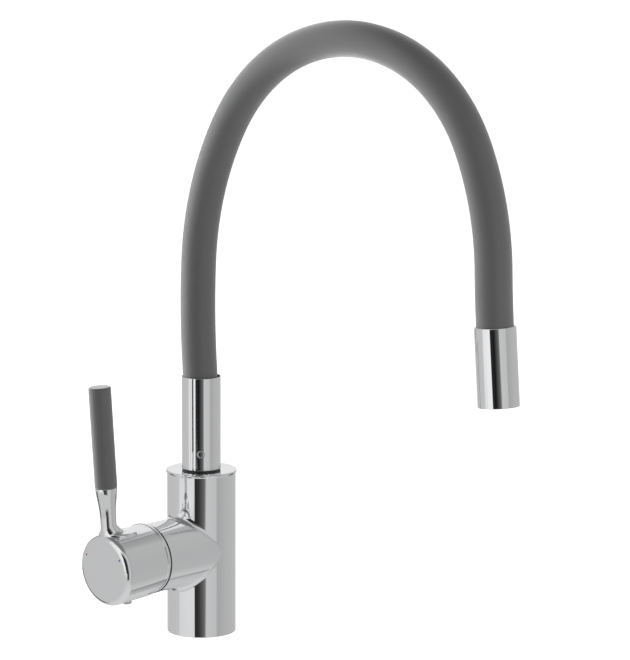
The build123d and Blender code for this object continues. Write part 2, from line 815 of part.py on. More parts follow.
# Dark glide ring that the stub turns on
with BuildPart() as glide_ring:
    with BuildSketch(Plane.XY.offset(body_height)):
        Circle(glide_r)
        Circle(nipple_spigot_r + fixed_fit, mode=Mode.SUBTRACT)
    extrude(amount=glide_height - glide_play)
finish(glide_ring.part, "glide_ring")

# Spout stub: swivel bore, web with the ferrule's thread, and a thin mouth round the hose
with BuildPart() as spout_stub:
    with BuildSketch(Plane.XY.offset(stub_bottom)):
        Circle(stub_r)
    extrude(amount=stub_height)
    fillet(spout_stub.edges().sort_by(Axis.Z)[0], stub_foot_edge)
    with BuildSketch(Plane.XY.offset(stub_bottom)):
        Circle(nipple_spigot_r + running_fit)
    extrude(amount=stub_web - stub_bottom, mode=Mode.SUBTRACT)
    with BuildSketch(Plane.XY.offset(stub_web)):
        Circle(ferrule_spigot_r)
    extrude(amount=stub_web_height, mode=Mode.SUBTRACT)
    with BuildSketch(Plane.XY.offset(cup_floor)):
        Circle(stub_mouth_r)
    extrude(amount=stub_top - cup_floor, mode=Mode.SUBTRACT)
    fillet(spout_stub.edges().group_by(Axis.Z)[-1], stub_rim)
    with BuildSketch(set_screw_plane):
        Circle(set_screw_r)
    extrude(amount=2 * stub_r, mode=Mode.SUBTRACT)
finish(spout_stub.part, "spout_stub")

# Set screw: its tip runs in the nipple's groove and holds the spout down
with BuildPart() as spout_set_screw:
    with BuildSketch(set_screw_plane.offset(nipple_spigot_r - set_groove_depth + set_tip_gap)):
        Circle(set_screw_tip_r)
    extrude(amount=set_groove_depth)
    with BuildSketch(set_screw_plane.offset(nipple_spigot_r + set_tip_gap)):
        Circle(set_screw_r - fixed_fit)
    extrude(amount=stub_r - set_screw_sink - nipple_spigot_r - set_tip_gap)
    with BuildSketch(set_screw_plane.offset(stub_r - set_screw_sink)):
        RegularPolygon(set_screw_key / 2, 6, major_radius=False)
    extrude(amount=-set_screw_key_depth, mode=Mode.SUBTRACT)
finish(spout_set_screw.part, "spout_set_screw")

# Lower ferrule, screwed into the stub and crimped round the liner
with BuildPart() as lower_ferrule:
    with BuildSketch(body_section):
        with BuildLine():
            Polyline(
                (ferrule_bore_r, stub_web),
                (ferrule_spigot_r - fixed_fit, stub_web),
                (ferrule_spigot_r - fixed_fit, cup_floor),
                (ferrule_r, cup_floor),
                (ferrule_r, sleeve_start),
                (liner_r, sleeve_start),
                (liner_r, liner_start),
                (hose_r - hose_wall, liner_start),
                (hose_r - hose_wall, sleeve_start),
                (ferrule_bore_r, sleeve_start),
                close=True,
            )
        make_face()
    revolve(axis=Axis.Z)
finish(lower_ferrule.part, "lower_ferrule")

# The arch: wound metal liner that holds its bend, water hose inside, silicone sleeve outside
finish(spout_tube(liner_start, liner_end, liner_r, liner_r - liner_wall), "gooseneck_liner")
finish(spout_tube(liner_start, liner_end, hose_r, hose_r - hose_wall), "water_hose")
finish(spout_tube(sleeve_start, nozzle_hose_depth, sleeve_r, sleeve_r - sleeve_wall), "hose_sleeve")

# Upper ferrule, crimped round the liner's other end, with the nozzle's thread
with BuildPart() as upper_ferrule:
    with BuildSketch(nozzle_section):
        with BuildLine():
            Polyline(
                (ferrule_bore_r, nozzle_hose_depth),
                (hose_r - hose_wall, nozzle_hose_depth),
                (hose_r - hose_wall, liner_end),
                (liner_r, liner_end),
                (liner_r, nozzle_hose_depth),
                (ferrule_r, nozzle_hose_depth),
                (ferrule_r, nozzle_cup_floor),
                (outlet_spigot_r - fixed_fit, nozzle_cup_floor),
                (outlet_spigot_r - fixed_fit, nozzle_cup_floor + outlet_spigot_length),
                (ferrule_bore_r, nozzle_cup_floor + outlet_spigot_length),
                close=True,
            )
        make_face()
    revolve(axis=nozzle_axis)
finish(upper_ferrule.part, "upper_ferrule")

# Nozzle shell with the shoulder that the ferrule and the adapter clamp
with BuildPart() as nozzle_shell:
    with BuildSketch(nozzle_at(0)):
        Circle(nozzle_r)
    extrude(amount=nozzle_length)
    fillet(nozzle_shell.edges().sort_by(Axis.Z)[-1], nozzle_top_edge)
    with BuildSketch(nozzle_at(0)):
        Circle(nozzle_mouth_r)
    extrude(amount=nozzle_cup_floor, mode=Mode.SUBTRACT)
    with BuildSketch(nozzle_at(nozzle_cup_floor)):
        Circle(outlet_spigot_r)
    extrude(amount=nozzle_shoulder, mode=Mode.SUBTRACT)
    with BuildSketch(nozzle_at(adapter_top)):
        Circle(aerator_thread_r + fixed_fit)
    extrude(amount=nozzle_length - adapter_top, mode=Mode.SUBTRACT)
    fillet(nozzle_shell.edges().group_by(Axis.Z)[0], nozzle_bottom_edge)
finish(nozzle_shell.part, "nozzle_shell")

# Adapter nut on the ferrule's spigot
with BuildPart() as nozzle_adapter:
    with BuildSketch(nozzle_at(adapter_top)):
        Circle(aerator_thread_r)
    extrude(amount=adapter_height)
    with BuildSketch(nozzle_at(adapter_top)):
        Circle(adapter_chamber_r)
    extrude(amount=adapter_height, mode=Mode.SUBTRACT)
    with BuildSketch(nozzle_at(adapter_top)):
        Circle(outlet_spigot_r)
    extrude(amount=outlet_spigot_length - nozzle_shoulder, mode=Mode.SUBTRACT)
finish(nozzle_adapter.part, "nozzle_adapter")

# Rubber gasket above the aerator
with BuildPart() as aerator_gasket:
    with BuildSketch(nozzle_at(adapter_bottom)):
        Circle(aerator_thread_r)
        Circle(adapter_chamber_r, mode=Mode.SUBTRACT)
    extrude(amount=aerator_gasket_height)
finish(aerator_gasket.part, "aerator_gasket")

# Aerator housing: threaded ring with a lip that holds the insert
with BuildPart() as aerator_housing:
    with BuildSketch(nozzle_at(aerator_top)):
        Circle(aerator_thread_r)
        Circle(aerator_thread_r - aerator_wall, mode=Mode.SUBTRACT)
    extrude(amount=aerator_bottom - aerator_top)
    with BuildSketch(nozzle_at(aerator_bottom)):
        Circle(aerator_thread_r)
        Circle(aerator_thread_r - aerator_wall - aerator_lip, mode=Mode.SUBTRACT)
    extrude(amount=-aerator_lip_height)
finish(aerator_housing.part, "aerator_housing")

# Aerator insert: cup with a plate of jet holes
with BuildPart() as aerator_insert:
    with BuildSketch(nozzle_at(aerator_bottom - aerator_lip_height)):
        Circle(aerator_thread_r - aerator_wall - fixed_fit)
    extrude(amount=-insert_height)
    with BuildSketch(nozzle_at(aerator_bottom - aerator_lip_height - insert_height)):
        Circle(aerator_thread_r - aerator_wall - fixed_fit - insert_wall)
    extrude(amount=insert_height - insert_floor, mode=Mode.SUBTRACT)
    with BuildSketch(nozzle_at(aerator_bottom - aerator_lip_height - insert_floor)):
        Circle(insert_hole_r)
        for hole_ring in range(1, insert_hole_rings + 1):
            with PolarLocations(hole_ring * insert_hole_pitch, 6 * hole_ring):
                Circle(insert_hole_r)
    extrude(amount=insert_floor, mode=Mode.SUBTRACT)
finish(aerator_insert.part, "aerator_insert")
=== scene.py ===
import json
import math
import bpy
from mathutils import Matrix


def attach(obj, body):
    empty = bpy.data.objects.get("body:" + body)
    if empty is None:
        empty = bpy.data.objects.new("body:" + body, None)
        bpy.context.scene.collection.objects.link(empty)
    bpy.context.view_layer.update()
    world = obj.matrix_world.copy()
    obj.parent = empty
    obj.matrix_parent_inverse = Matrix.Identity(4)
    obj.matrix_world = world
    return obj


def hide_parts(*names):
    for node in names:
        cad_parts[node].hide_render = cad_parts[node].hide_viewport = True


bl_info = {
    "name": "Kitchen Mixer Tap",
    "version": (1, 0, 0),
    "blender": (4, 5, 0),
    "location": "3D View > Sidebar > Mixer Tap",
    "description": "Dresses a kitchen mixer tap with its finishes and fine forms",
    "category": "Object",
}

import bpy
from bpy.props import FloatProperty, FloatVectorProperty, IntProperty, PointerProperty
from mathutils import Matrix, Vector

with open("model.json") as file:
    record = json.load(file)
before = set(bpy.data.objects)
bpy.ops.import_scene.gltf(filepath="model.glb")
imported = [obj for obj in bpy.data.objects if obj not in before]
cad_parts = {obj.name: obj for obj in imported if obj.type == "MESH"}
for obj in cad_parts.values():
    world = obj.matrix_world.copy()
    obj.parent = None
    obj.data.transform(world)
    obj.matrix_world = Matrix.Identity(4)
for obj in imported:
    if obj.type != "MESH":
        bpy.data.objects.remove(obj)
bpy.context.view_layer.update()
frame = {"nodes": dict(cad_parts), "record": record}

MM = 0.001
UP = Vector((0, 0, 1))
DOWN_BRANCH = Vector((0, -1, 0))

# Points of one mesh that lie closer than this are the same point
SAME_POINT = 0.001 * MM
SAME_CAD_POINT = 0.002 * MM
CREASE = math.radians(30)


# Sizes and colours that a user would change

class TapSizes(bpy.types.PropertyGroup):
    """Sizes of the pieces that are modelled here, in metres."""

    hose_radius: FloatProperty(
        name="Hose radius", description="Outside of the silicone sleeve",
        default=12.22 * MM, subtype="DISTANCE",
    )
    hose_wall: FloatProperty(
        name="Sleeve wall", description="Thickness of the silicone sleeve",
        default=1.47 * MM, subtype="DISTANCE",
    )
    grip_radius: FloatProperty(
        name="Grip radius", description="Outside of the lever's silicone grip",
        default=7.8 * MM, subtype="DISTANCE",
    )
    stub_radius: FloatProperty(
        name="Stub radius", description="Outside of the spout's chrome stub",
        default=13.8 * MM, subtype="DISTANCE",
    )
    # The ring at the seam is painted shade: a dark ring that stands in for the shadow in the gap behind the
    # cap
    seam_shade_radius: FloatProperty(
        name="Seam radius", description="Outside of the dark seam shade ring behind the cap",
        default=24.3 * MM, subtype="DISTANCE",
    )
    segments: IntProperty(
        name="Segments", description="Faces round a turned piece", default=128, min=24, max=256
    )


class TapColours(bpy.types.PropertyGroup):
    """Colours of the finishes."""

    chrome: FloatVectorProperty(
        name="Chrome", description="Tint of the chrome plate",
        default=(0.86, 0.865, 0.875), subtype="COLOR",
    )
    silicone: FloatVectorProperty(
        name="Silicone", description="Grey of the hose and grip",
        default=(0.121, 0.122, 0.125), subtype="COLOR",
    )
    # This dark plastic is the glide ring's own colour, and also the painted shade of the ring at the seam
    glide: FloatVectorProperty(
        name="Glide ring", description="Dark plastic of the glide ring and seam shade ring",
        default=(0.02, 0.02, 0.022), subtype="COLOR",
    )
    hot: FloatVectorProperty(
        name="Hot mark", description="Enamel of the hot mark",
        default=(0.42, 0.03, 0.025), subtype="COLOR",
    )
    cold: FloatVectorProperty(
        name="Cold mark", description="Enamel of the cold mark",
        default=(0.03, 0.08, 0.36), subtype="COLOR",
    )


def sizes():
    return bpy.context.scene.tap_sizes


def colours():
    return bpy.context.scene.tap_colours


# Small helpers for modelling

def deselect():
    if bpy.context.object and bpy.context.object.mode != "OBJECT":
        bpy.ops.object.mode_set(mode="OBJECT")
    bpy.ops.object.select_all(action="DESELECT")


def activate(piece):
    deselect()
    piece.select_set(True)
    bpy.context.view_layer.objects.active = piece


def settle(piece):
    """Put the piece's place into its mesh, so that its object sits at the origin."""
    activate(piece)
    bpy.ops.object.transform_apply(location=True, rotation=True, scale=True)


def soften(piece):
    """Smooth shading that keeps creases, with flat faces kept flat."""
    activate(piece)
    bpy.ops.object.shade_smooth_by_angle(angle=CREASE)
    even = piece.modifiers.new("even normals", "WEIGHTED_NORMAL")
    even.keep_sharp = True
    even.weight = 100
    bpy.ops.object.modifier_apply(modifier=even.name)


def finish_piece(piece, name, slot_name, body, nodes):
    """Name a piece, give it its finish, and tie it to the frame."""
    piece.name = name
    piece.data.name = name
    piece.data.materials.clear()
    piece.data.materials.append(FINISHES[slot_name])
    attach(piece, body)
    if nodes:
        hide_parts(*nodes)


def clean_normals(piece):
    """Merge doubled points and turn every face outwards."""
    activate(piece)
    bpy.ops.object.mode_set(mode="EDIT")
    bpy.ops.mesh.select_all(action="SELECT")
    bpy.ops.mesh.remove_doubles(threshold=SAME_POINT)
    bpy.ops.mesh.normals_make_consistent(inside=False)
    bpy.ops.object.mode_set(mode="OBJECT")


def arc(centre_r, centre_h, radius, start, end, steps=6):
    """Points of a rounded edge in a turned profile, as radius and height, angles in degrees."""
    points = []
    for step in range(steps + 1):
        angle = math.radians(start + (end - start) * step / steps)
        points.append((centre_r + radius * math.cos(angle), centre_h + radius * math.sin(angle)))
    return points


def give_wall(piece, thickness):
    """Turn an open tube into one with a wall, which grows inwards."""
    wall = piece.modifiers.new("wall", "SOLIDIFY")
    wall.thickness = thickness
    wall.offset = -1
    bpy.ops.object.modifier_apply(modifier=wall.name)


def turned(profile, place, axis, hollow=False):
    """Turn a profile of radii and heights round an axis: a ring is drawn and extruded along it.

    A solid piece is closed at both ends. A hollow one has a profile that ends where it starts.
    """
    axis = axis.normalized()
    turn = UP.rotation_difference(axis)
    radius, height = profile[0]
    deselect()
    bpy.ops.mesh.primitive_circle_add(
        vertices=sizes().segments, radius=radius, fill_type="NOTHING",
        location=place + axis * height, rotation=turn.to_euler(),
    )
    piece = bpy.context.object
    bpy.ops.object.mode_set(mode="EDIT")
    bpy.ops.mesh.select_all(action="SELECT")
    if not hollow:
        bpy.ops.mesh.edge_face_add()
        bpy.ops.mesh.select_all(action="SELECT")
    for next_radius, next_height in profile[1:]:
        move = axis * (next_height - height)
        bpy.ops.mesh.extrude_edges_move(TRANSFORM_OT_translate={"value": move})
        scale = next_radius / radius
        centre = place + axis * next_height
        bpy.ops.transform.resize(value=(scale, scale, scale), center_override=centre)
        radius, height = next_radius, next_height
    if not hollow:
        bpy.ops.mesh.edge_face_add()
    bpy.ops.object.mode_set(mode="OBJECT")
    settle(piece)
    clean_normals(piece)
    return piece


def dressed_copy(node, reshape=None):
    """A merged, smoothly shaded copy of a construction node, reshaped if a function is given."""
    source = frame["nodes"][node]
    piece = source.copy()
    piece.data = source.data.copy()
    piece.parent = None
    piece.matrix_world = Matrix.Identity(4)
    bpy.context.collection.objects.link(piece)
    activate(piece)
    bpy.ops.object.mode_set(mode="EDIT")
    bpy.ops.mesh.select_all(action="SELECT")
    bpy.ops.mesh.remove_doubles(threshold=SAME_CAD_POINT)
    bpy.ops.object.mode_set(mode="OBJECT")
    if reshape:
        reshape(piece)
    soften(piece)
    return piece


# Materials

def add_node(tree, kind, operation=None, **values):
    """A new shader node, with its operation and the values of the inputs that are named."""
    node = tree.nodes.new(kind)
    if operation:
        node.operation = operation
    for name, value in values.items():
        node.inputs[name.replace("_", " ")].default_value = value
    return node


# Share of the specks in the grain's mask, and the part of that mask that counts
SPECKS_IN_GRAIN = 0.35
GRAIN_LOW = 0.35
GRAIN_HIGH = 0.95


def grain_group():
    """Shared surface grain: a mask of fine specks and slow patches, and a bump height."""
    group = bpy.data.node_groups.new("surface grain", "ShaderNodeTree")
    for direction, names in (
        ("INPUT", ("Fine scale", "Patch scale", "Low", "High")), ("OUTPUT", ("Roughness", "Height")),
    ):
        for name in names:
            group.interface.new_socket(name, in_out=direction, socket_type="NodeSocketFloat")
    entry = add_node(group, "NodeGroupInput")
    leave = add_node(group, "NodeGroupOutput")
    place = add_node(group, "ShaderNodeTexCoord")
    fine = add_node(group, "ShaderNodeTexNoise", Detail=3.0)
    patch = add_node(group, "ShaderNodeTexNoise", Detail=4.0)
    mix = add_node(group, "ShaderNodeMath", "MULTIPLY_ADD")
    mix.inputs[1].default_value = SPECKS_IN_GRAIN
    spread = add_node(group, "ShaderNodeMapRange", From_Min=GRAIN_LOW, From_Max=GRAIN_HIGH)
    join = group.links.new
    join(place.outputs["Object"], fine.inputs["Vector"])
    join(place.outputs["Object"], patch.inputs["Vector"])
    join(entry.outputs["Fine scale"], fine.inputs["Scale"])
    join(entry.outputs["Patch scale"], patch.inputs["Scale"])
    join(fine.outputs["Fac"], mix.inputs[0])
    join(patch.outputs["Fac"], mix.inputs[2])
    join(mix.outputs["Value"], spread.inputs["Value"])
    join(entry.outputs["Low"], spread.inputs["To Min"])
    join(entry.outputs["High"], spread.inputs["To Max"])
    join(spread.outputs["Result"], leave.inputs["Roughness"])
    join(fine.outputs["Fac"], leave.inputs["Height"])
    return group


def grained(group, name, colour, roughness, scales, bump=0.0, bump_size=0.01 * MM, metallic=0.0,
            coat=0.0, sheen=0.0):
    """A material whose roughness and fine relief come from the shared grain."""
    material = bpy.data.materials.new(name)
    material.use_nodes = True
    tree = material.node_tree
    surface = tree.nodes["Principled BSDF"]
    surface.inputs["Base Color"].default_value = (*colour, 1)
    surface.inputs["Metallic"].default_value = metallic
    surface.inputs["Coat Weight"].default_value = coat
    surface.inputs["Sheen Weight"].default_value = sheen
    grain = add_node(tree, "ShaderNodeGroup")
    grain.node_tree = group
    for socket, value in zip(("Fine scale", "Patch scale", "Low", "High"), (*scales, *roughness)):
        grain.inputs[socket].default_value = value
    tree.links.new(grain.outputs["Roughness"], surface.inputs["Roughness"])
    if bump > 0:
        relief = add_node(tree, "ShaderNodeBump", Strength=bump, Distance=bump_size)
        tree.links.new(grain.outputs["Height"], relief.inputs["Height"])
        tree.links.new(relief.outputs["Normal"], surface.inputs["Normal"])
    return material


def make_materials():
    """Every finish of the tap, by its slot name: colour, roughness, grain scales, then what is special."""
    tone = colours()
    rows = {
        "chrome": ("polished chrome", tone.chrome, (0.02, 0.07), (900.0, 35.0), {"metallic": 1.0}),
        "silicone": (
            "grey silicone", tone.silicone, (0.4, 0.5), (1500.0, 90.0),
            {"bump": 0.25, "bump_size": 0.03 * MM, "sheen": 0.8},
        ),
        "black_rubber": ("black rubber", (0.02, 0.02, 0.02), (0.55, 0.75), (1200.0, 80.0), {"bump": 0.3}),
        # The glide plastic is the glide ring's own finish, and also painted shade on the ring at the seam
        "glide_plastic": ("glide plastic", tone.glide, (0.3, 0.42), (1800.0, 90.0), {"bump": 0.1}),
        "brass": (
            "turned brass", (0.72, 0.50, 0.22), (0.22, 0.38), (1600.0, 50.0), {"bump": 0.1, "metallic": 1.0}
        ),
        "steel": (
            "plain steel", (0.62, 0.62, 0.63), (0.12, 0.2), (1500.0, 60.0), {"bump": 0.1, "metallic": 1.0}
        ),
        "white_plastic": ("white plastic", (0.78, 0.78, 0.75), (0.35, 0.5), (1500.0, 60.0), {"bump": 0.1}),
        "ceramic": ("lapped ceramic", (0.82, 0.82, 0.79), (0.08, 0.14), (2500.0, 60.0), {}),
        "hose_plastic": ("hose plastic", (0.7, 0.73, 0.76), (0.35, 0.45), (1200.0, 50.0), {"bump": 0.1}),
        "plug_plastic": ("plug plastic", (0.5, 0.5, 0.51), (0.35, 0.45), (1500.0, 60.0), {"bump": 0.1}),
        "hot_enamel": ("hot enamel", tone.hot, (0.1, 0.2), (1500.0, 60.0), {"coat": 0.5}),
        "cold_enamel": ("cold enamel", tone.cold, (0.1, 0.2), (1500.0, 60.0), {"coat": 0.5}),
    }
    group = grain_group()
    return {slot: grained(group, *row, **special) for slot, (*row, special) in rows.items()}


FINISHES = {}
SLOTS = {row["node"]: row["material_slot"] for row in frame["record"]["subparts"]}


# Where the spout's arch runs: radius in metres and turn in degrees of each bend, positive to the left

ARCH_START = 158.0 * MM
SLEEVE_START = 156.2 * MM
SLEEVE_RUN_OUT = 8.0 * MM
ARCH_BENDS = (
    (330.4 * MM, 4.906),
    (555.2 * MM, -8.115),
    (209.8 * MM, -28.563),
    (135.2 * MM, -75.053),
    (110.6 * MM, -48.284),
    (193.4 * MM, -23.391),
    (665.4 * MM, 3.046),
)
DEGREES_A_RING = 1.2
FEWEST_RINGS = 3
HOSE_SEGMENTS = 96


def along_arch(place, heading, radius, turn):
    """Centre of a bend, and the place and heading at its end."""
    side = 1 if turn > 0 else -1
    left = Vector((-heading.z, 0, heading.x))
    centre = place + left * radius * side
    swing = Matrix.Rotation(math.radians(-turn), 3, "Y")
    return centre, centre + swing @ (place - centre), swing @ heading


class TAP_OT_hose(bpy.types.Operator):
    """Silicone sleeve: a ring spun through each bend of the arch, then given its wall"""

    bl_idname = "tap.hose"
    bl_label = "Hose sleeve"

    def execute(self, context):
        size = sizes()
        deselect()
        bpy.ops.mesh.primitive_circle_add(
            vertices=HOSE_SEGMENTS, radius=size.hose_radius, fill_type="NOTHING", location=UP * SLEEVE_START
        )
        piece = context.object
        bpy.ops.object.mode_set(mode="EDIT")
        bpy.ops.mesh.select_all(action="SELECT")
        bpy.ops.mesh.extrude_edges_move(TRANSFORM_OT_translate={"value": UP * (ARCH_START - SLEEVE_START)})
        place, heading = UP * ARCH_START, UP
        for radius, turn in ARCH_BENDS:
            centre, place_after, heading_after = along_arch(place, heading, radius, turn)
            steps = max(FEWEST_RINGS, math.ceil(abs(turn) / DEGREES_A_RING))
            bpy.ops.mesh.spin(
                steps=steps, angle=math.radians(abs(turn)), center=centre,
                axis=(0, 1 if turn > 0 else -1, 0),
            )
            place, heading = place_after, heading_after
        run_out = heading * SLEEVE_RUN_OUT
        bpy.ops.mesh.extrude_edges_move(TRANSFORM_OT_translate={"value": run_out})
        bpy.ops.object.mode_set(mode="OBJECT")
        settle(piece)
        clean_normals(piece)
        give_wall(piece, size.hose_wall)
        soften(piece)
        finish_piece(piece, "silicone_sleeve", "silicone", "spout", ["hose_sleeve"])
        return {"FINISHED"}


# The lever's frame at rest

BRANCH_Z = 60.4 * MM
PIVOT = Vector((0, -54.5 * MM, BRANCH_Z))
REST_TILT = math.radians(2.7)
REST_TURN = math.radians(2.0)
REST = Matrix.Rotation(REST_TURN, 3, DOWN_BRANCH) @ Matrix.Rotation(REST_TILT, 3, "X")
HANDLE_OUT = REST @ DOWN_BRANCH
HANDLE_UP = REST @ UP
LEVER_REACH = 31.7 * MM
LEVER_FOOT = PIVOT + HANDLE_OUT * LEVER_REACH
GRIP_BOTTOM = 57.8 * MM
GRIP_TOP = 128.1 * MM
GRIP_TOP_EDGE = 1.2 * MM
GRIP_HEM = 0.5 * MM


class TAP_OT_grip(bpy.types.Operator):
    """Silicone grip: turned profile with a rounded top and a small hem"""

    bl_idname = "tap.grip"
    bl_label = "Lever grip"

    def execute(self, context):
        radius = sizes().grip_radius
        profile = arc(radius - GRIP_HEM, GRIP_BOTTOM + GRIP_HEM, GRIP_HEM, -90, 0)
        profile += arc(radius - GRIP_TOP_EDGE, GRIP_TOP - GRIP_TOP_EDGE, GRIP_TOP_EDGE, 0, 90)
        piece = turned(profile, LEVER_FOOT, HANDLE_UP)
        soften(piece)
        finish_piece(piece, "silicone_grip", "silicone", "handle", ["lever_grip"])
        return {"FINISHED"}


# Rear end of the cap: distance before the seam and added radius, a low collar with a rounded rear edge.
# Only points of the outer wall move, which lie no deeper than the skin

SEAM_Y = -53.2 * MM
CAP_RADIUS = 25.0 * MM
CAP_SKIN = 0.2 * MM
CAP_COLLAR = (
    (0.0, -0.4 * MM), (0.12 * MM, -0.12 * MM), (0.35 * MM, 0.15 * MM),
    (0.7 * MM, 0.36 * MM), (1.1 * MM, 0.45 * MM), (2.6 * MM, 0.45 * MM),
    (2.75 * MM, 0.4 * MM), (3.1 * MM, 0.06 * MM), (3.3 * MM, 0.0),
)


def collar_height(before_seam):
    """Radius that the collar adds at a distance before the seam."""
    for (near, low), (far, high) in zip(CAP_COLLAR, CAP_COLLAR[1:]):
        if before_seam <= far:
            share = max(0.0, (before_seam - near) / (far - near))
            return low + (high - low) * share
    return 0.0


def raise_collar(piece):
    """Slice the cap's wall along the collar, then bring each slice to its radius."""
    bpy.ops.object.mode_set(mode="EDIT")
    for before_seam, _ in CAP_COLLAR[1:]:
        bpy.ops.mesh.select_all(action="SELECT")
        bpy.ops.mesh.bisect(plane_co=(0, SEAM_Y - before_seam, 0), plane_no=DOWN_BRANCH)
    bpy.ops.object.mode_set(mode="OBJECT")
    for vertex in piece.data.vertices:
        before_seam = SEAM_Y - vertex.co.y
        along = (vertex.co - PIVOT).dot(HANDLE_OUT)
        outward = vertex.co - PIVOT - HANDLE_OUT * along
        if before_seam < CAP_COLLAR[-1][0] and outward.length > CAP_RADIUS - CAP_SKIN:
            vertex.co += outward.normalized() * collar_height(before_seam)


# Painted shade at the seam: a dark ring between the branch and the cap that stands in for the shadow in
# their gap

SEAM_END = Vector((0, -52.5 * MM, BRANCH_Z))
SEAM_WIDTH = 1.0 * MM
SEAM_WALL = 0.5 * MM


class TAP_OT_seam_shade(bpy.types.Operator):
    """Painted shade: a dark ring at the end of the branch for the shadow in the seam's gap, drawn and given
    its width and its wall
    """

    bl_idname = "tap.seam"
    bl_label = "Painted seam shade"

    def execute(self, context):
        deselect()
        bpy.ops.mesh.primitive_circle_add(
            vertices=sizes().segments, radius=sizes().seam_shade_radius, fill_type="NOTHING",
            location=SEAM_END, rotation=(math.pi / 2, 0, 0),
        )
        piece = context.object
        bpy.ops.object.mode_set(mode="EDIT")
        bpy.ops.mesh.select_all(action="SELECT")
        bpy.ops.mesh.extrude_edges_move(TRANSFORM_OT_translate={"value": DOWN_BRANCH * -SEAM_WIDTH})
        bpy.ops.object.mode_set(mode="OBJECT")
        settle(piece)
        clean_normals(piece)
        give_wall(piece, SEAM_WALL)
        soften(piece)
        # The ring takes the dark glide plastic, as painted shade in the seam's gap
        finish_piece(piece, "painted_seam_shade_ring", "glide_plastic", "body", [])
        return {"FINISHED"}


# The spout's stub: bore on the body's nipple, web, and a thin mouth round the hose

STUB_BOTTOM = 117.65 * MM
STUB_TOP = 183.3 * MM
STUB_WEB = 137.15 * MM
STUB_FLOOR = 144.2 * MM
STUB_BORE = 10.58 * MM
STUB_WEB_BORE = 8.0 * MM
STUB_MOUTH = 13.25 * MM
STUB_FOOT_EDGE = 0.3 * MM
STUB_RIM_EDGE = 0.22 * MM


class TAP_OT_stub(bpy.types.Operator):
    """Chrome stub: a hollow turned profile with rounded foot and rim"""

    bl_idname = "tap.stub"
    bl_label = "Spout stub"

    def execute(self, context):
        radius = sizes().stub_radius
        foot, rim = STUB_FOOT_EDGE, STUB_RIM_EDGE
        profile = [(STUB_BORE, STUB_BOTTOM)]
        profile += arc(radius - foot, STUB_BOTTOM + foot, foot, -90, 0)
        profile += arc(radius - rim, STUB_TOP - rim, rim, 0, 90)
        profile += arc(STUB_MOUTH + rim, STUB_TOP - rim, rim, 90, 180)
        profile += [
            (STUB_MOUTH, STUB_FLOOR), (STUB_WEB_BORE, STUB_FLOOR), (STUB_WEB_BORE, STUB_WEB),
            (STUB_BORE, STUB_WEB), (STUB_BORE, STUB_BOTTOM),
        ]
        piece = turned(profile, Vector(), UP, hollow=True)
        soften(piece)
        finish_piece(piece, "chrome_stub", "chrome", "spout", ["spout_stub"])
        return {"FINISHED"}


# Clamping screw in the spout's stub: radius and height out of the stub's wall, up to the rounded rim
# and from it down into the head's hollow

SCREW_AZIMUTH = math.radians(44.5)
SCREW_OUT = Vector((math.sin(SCREW_AZIMUTH), -math.cos(SCREW_AZIMUTH), 0))
SCREW_HEIGHT = 129.5 * MM
SCREW_SHANK = ((2.3 * MM, -3.6 * MM), (2.3 * MM, -1.0 * MM), (2.8 * MM, -1.0 * MM))
SCREW_RIM = (2.4 * MM, -0.2 * MM)
SCREW_RIM_EDGE = 0.4 * MM
SCREW_HOLLOW = ((2.05 * MM, 0.12 * MM), (1.75 * MM, -0.1 * MM), (1.6 * MM, -0.3 * MM))
SOCKET_RADIUS = 1.35 * MM
SOCKET_DEPTH = 1.5 * MM


class TAP_OT_screw(bpy.types.Operator):
    """Clamping screw: a turned head with a round bright rim, and a hexagon socket cut into it"""

    bl_idname = "tap.screw"
    bl_label = "Clamping screw"

    def execute(self, context):
        profile = [*SCREW_SHANK, *arc(*SCREW_RIM, SCREW_RIM_EDGE, 0, 90), *SCREW_HOLLOW]
        seat = SCREW_OUT * sizes().stub_radius + UP * SCREW_HEIGHT
        piece = turned(profile, seat, SCREW_OUT)
        turn = UP.rotation_difference(SCREW_OUT)
        deselect()
        bpy.ops.mesh.primitive_cylinder_add(
            vertices=6, radius=SOCKET_RADIUS, depth=2 * SOCKET_DEPTH, location=seat, rotation=turn.to_euler()
        )
        key = context.object
        activate(piece)
        socket = piece.modifiers.new("socket", "BOOLEAN")
        socket.operation = "DIFFERENCE"
        socket.object = key
        bpy.ops.object.modifier_apply(modifier=socket.name)
        activate(key)
        bpy.ops.object.delete()
        soften(piece)
        finish_piece(piece, "stub_set_screw", "steel", "spout", ["spout_set_screw"])
        return {"FINISHED"}


# Chrome castings and small fittings: construction node, name of the dressed piece, what reshapes it

CASTINGS = {
    "body_casting": ("chrome_body", None),
    "dome_ring": ("chrome_dome_ring", None),
    "handle_lever": ("chrome_handle", raise_collar),
    "nozzle_shell": ("chrome_nozzle", None),
}
FITTINGS = {
    "glide_ring": ("dark_glide_ring", None),
    "screw_plug": ("handle_screw_plug", None),
    "aerator_housing": ("aerator_ring", None),
    "aerator_insert": ("aerator_jet_plate", None),
    "base_gasket": ("rubber_base_gasket", None),
    "hot_mark": ("enamel_hot_dot", None),
    "cold_mark": ("enamel_cold_dot", None),
}
BODY_OF = {node: body for body, nodes in frame["record"]["behaviour"]["bodies"].items() for node in nodes}


def dress(table):
    """Make a dressed copy of each node in a table, in its own finish."""
    for node, (name, reshape) in table.items():
        piece = dressed_copy(node, reshape)
        finish_piece(piece, name, SLOTS[node], BODY_OF[node], [node])


class TAP_OT_castings(bpy.types.Operator):
    """Chrome body, dome ring, handle and nozzle"""

    bl_idname = "tap.castings"
    bl_label = "Chrome castings"

    def execute(self, context):
        dress(CASTINGS)
        return {"FINISHED"}


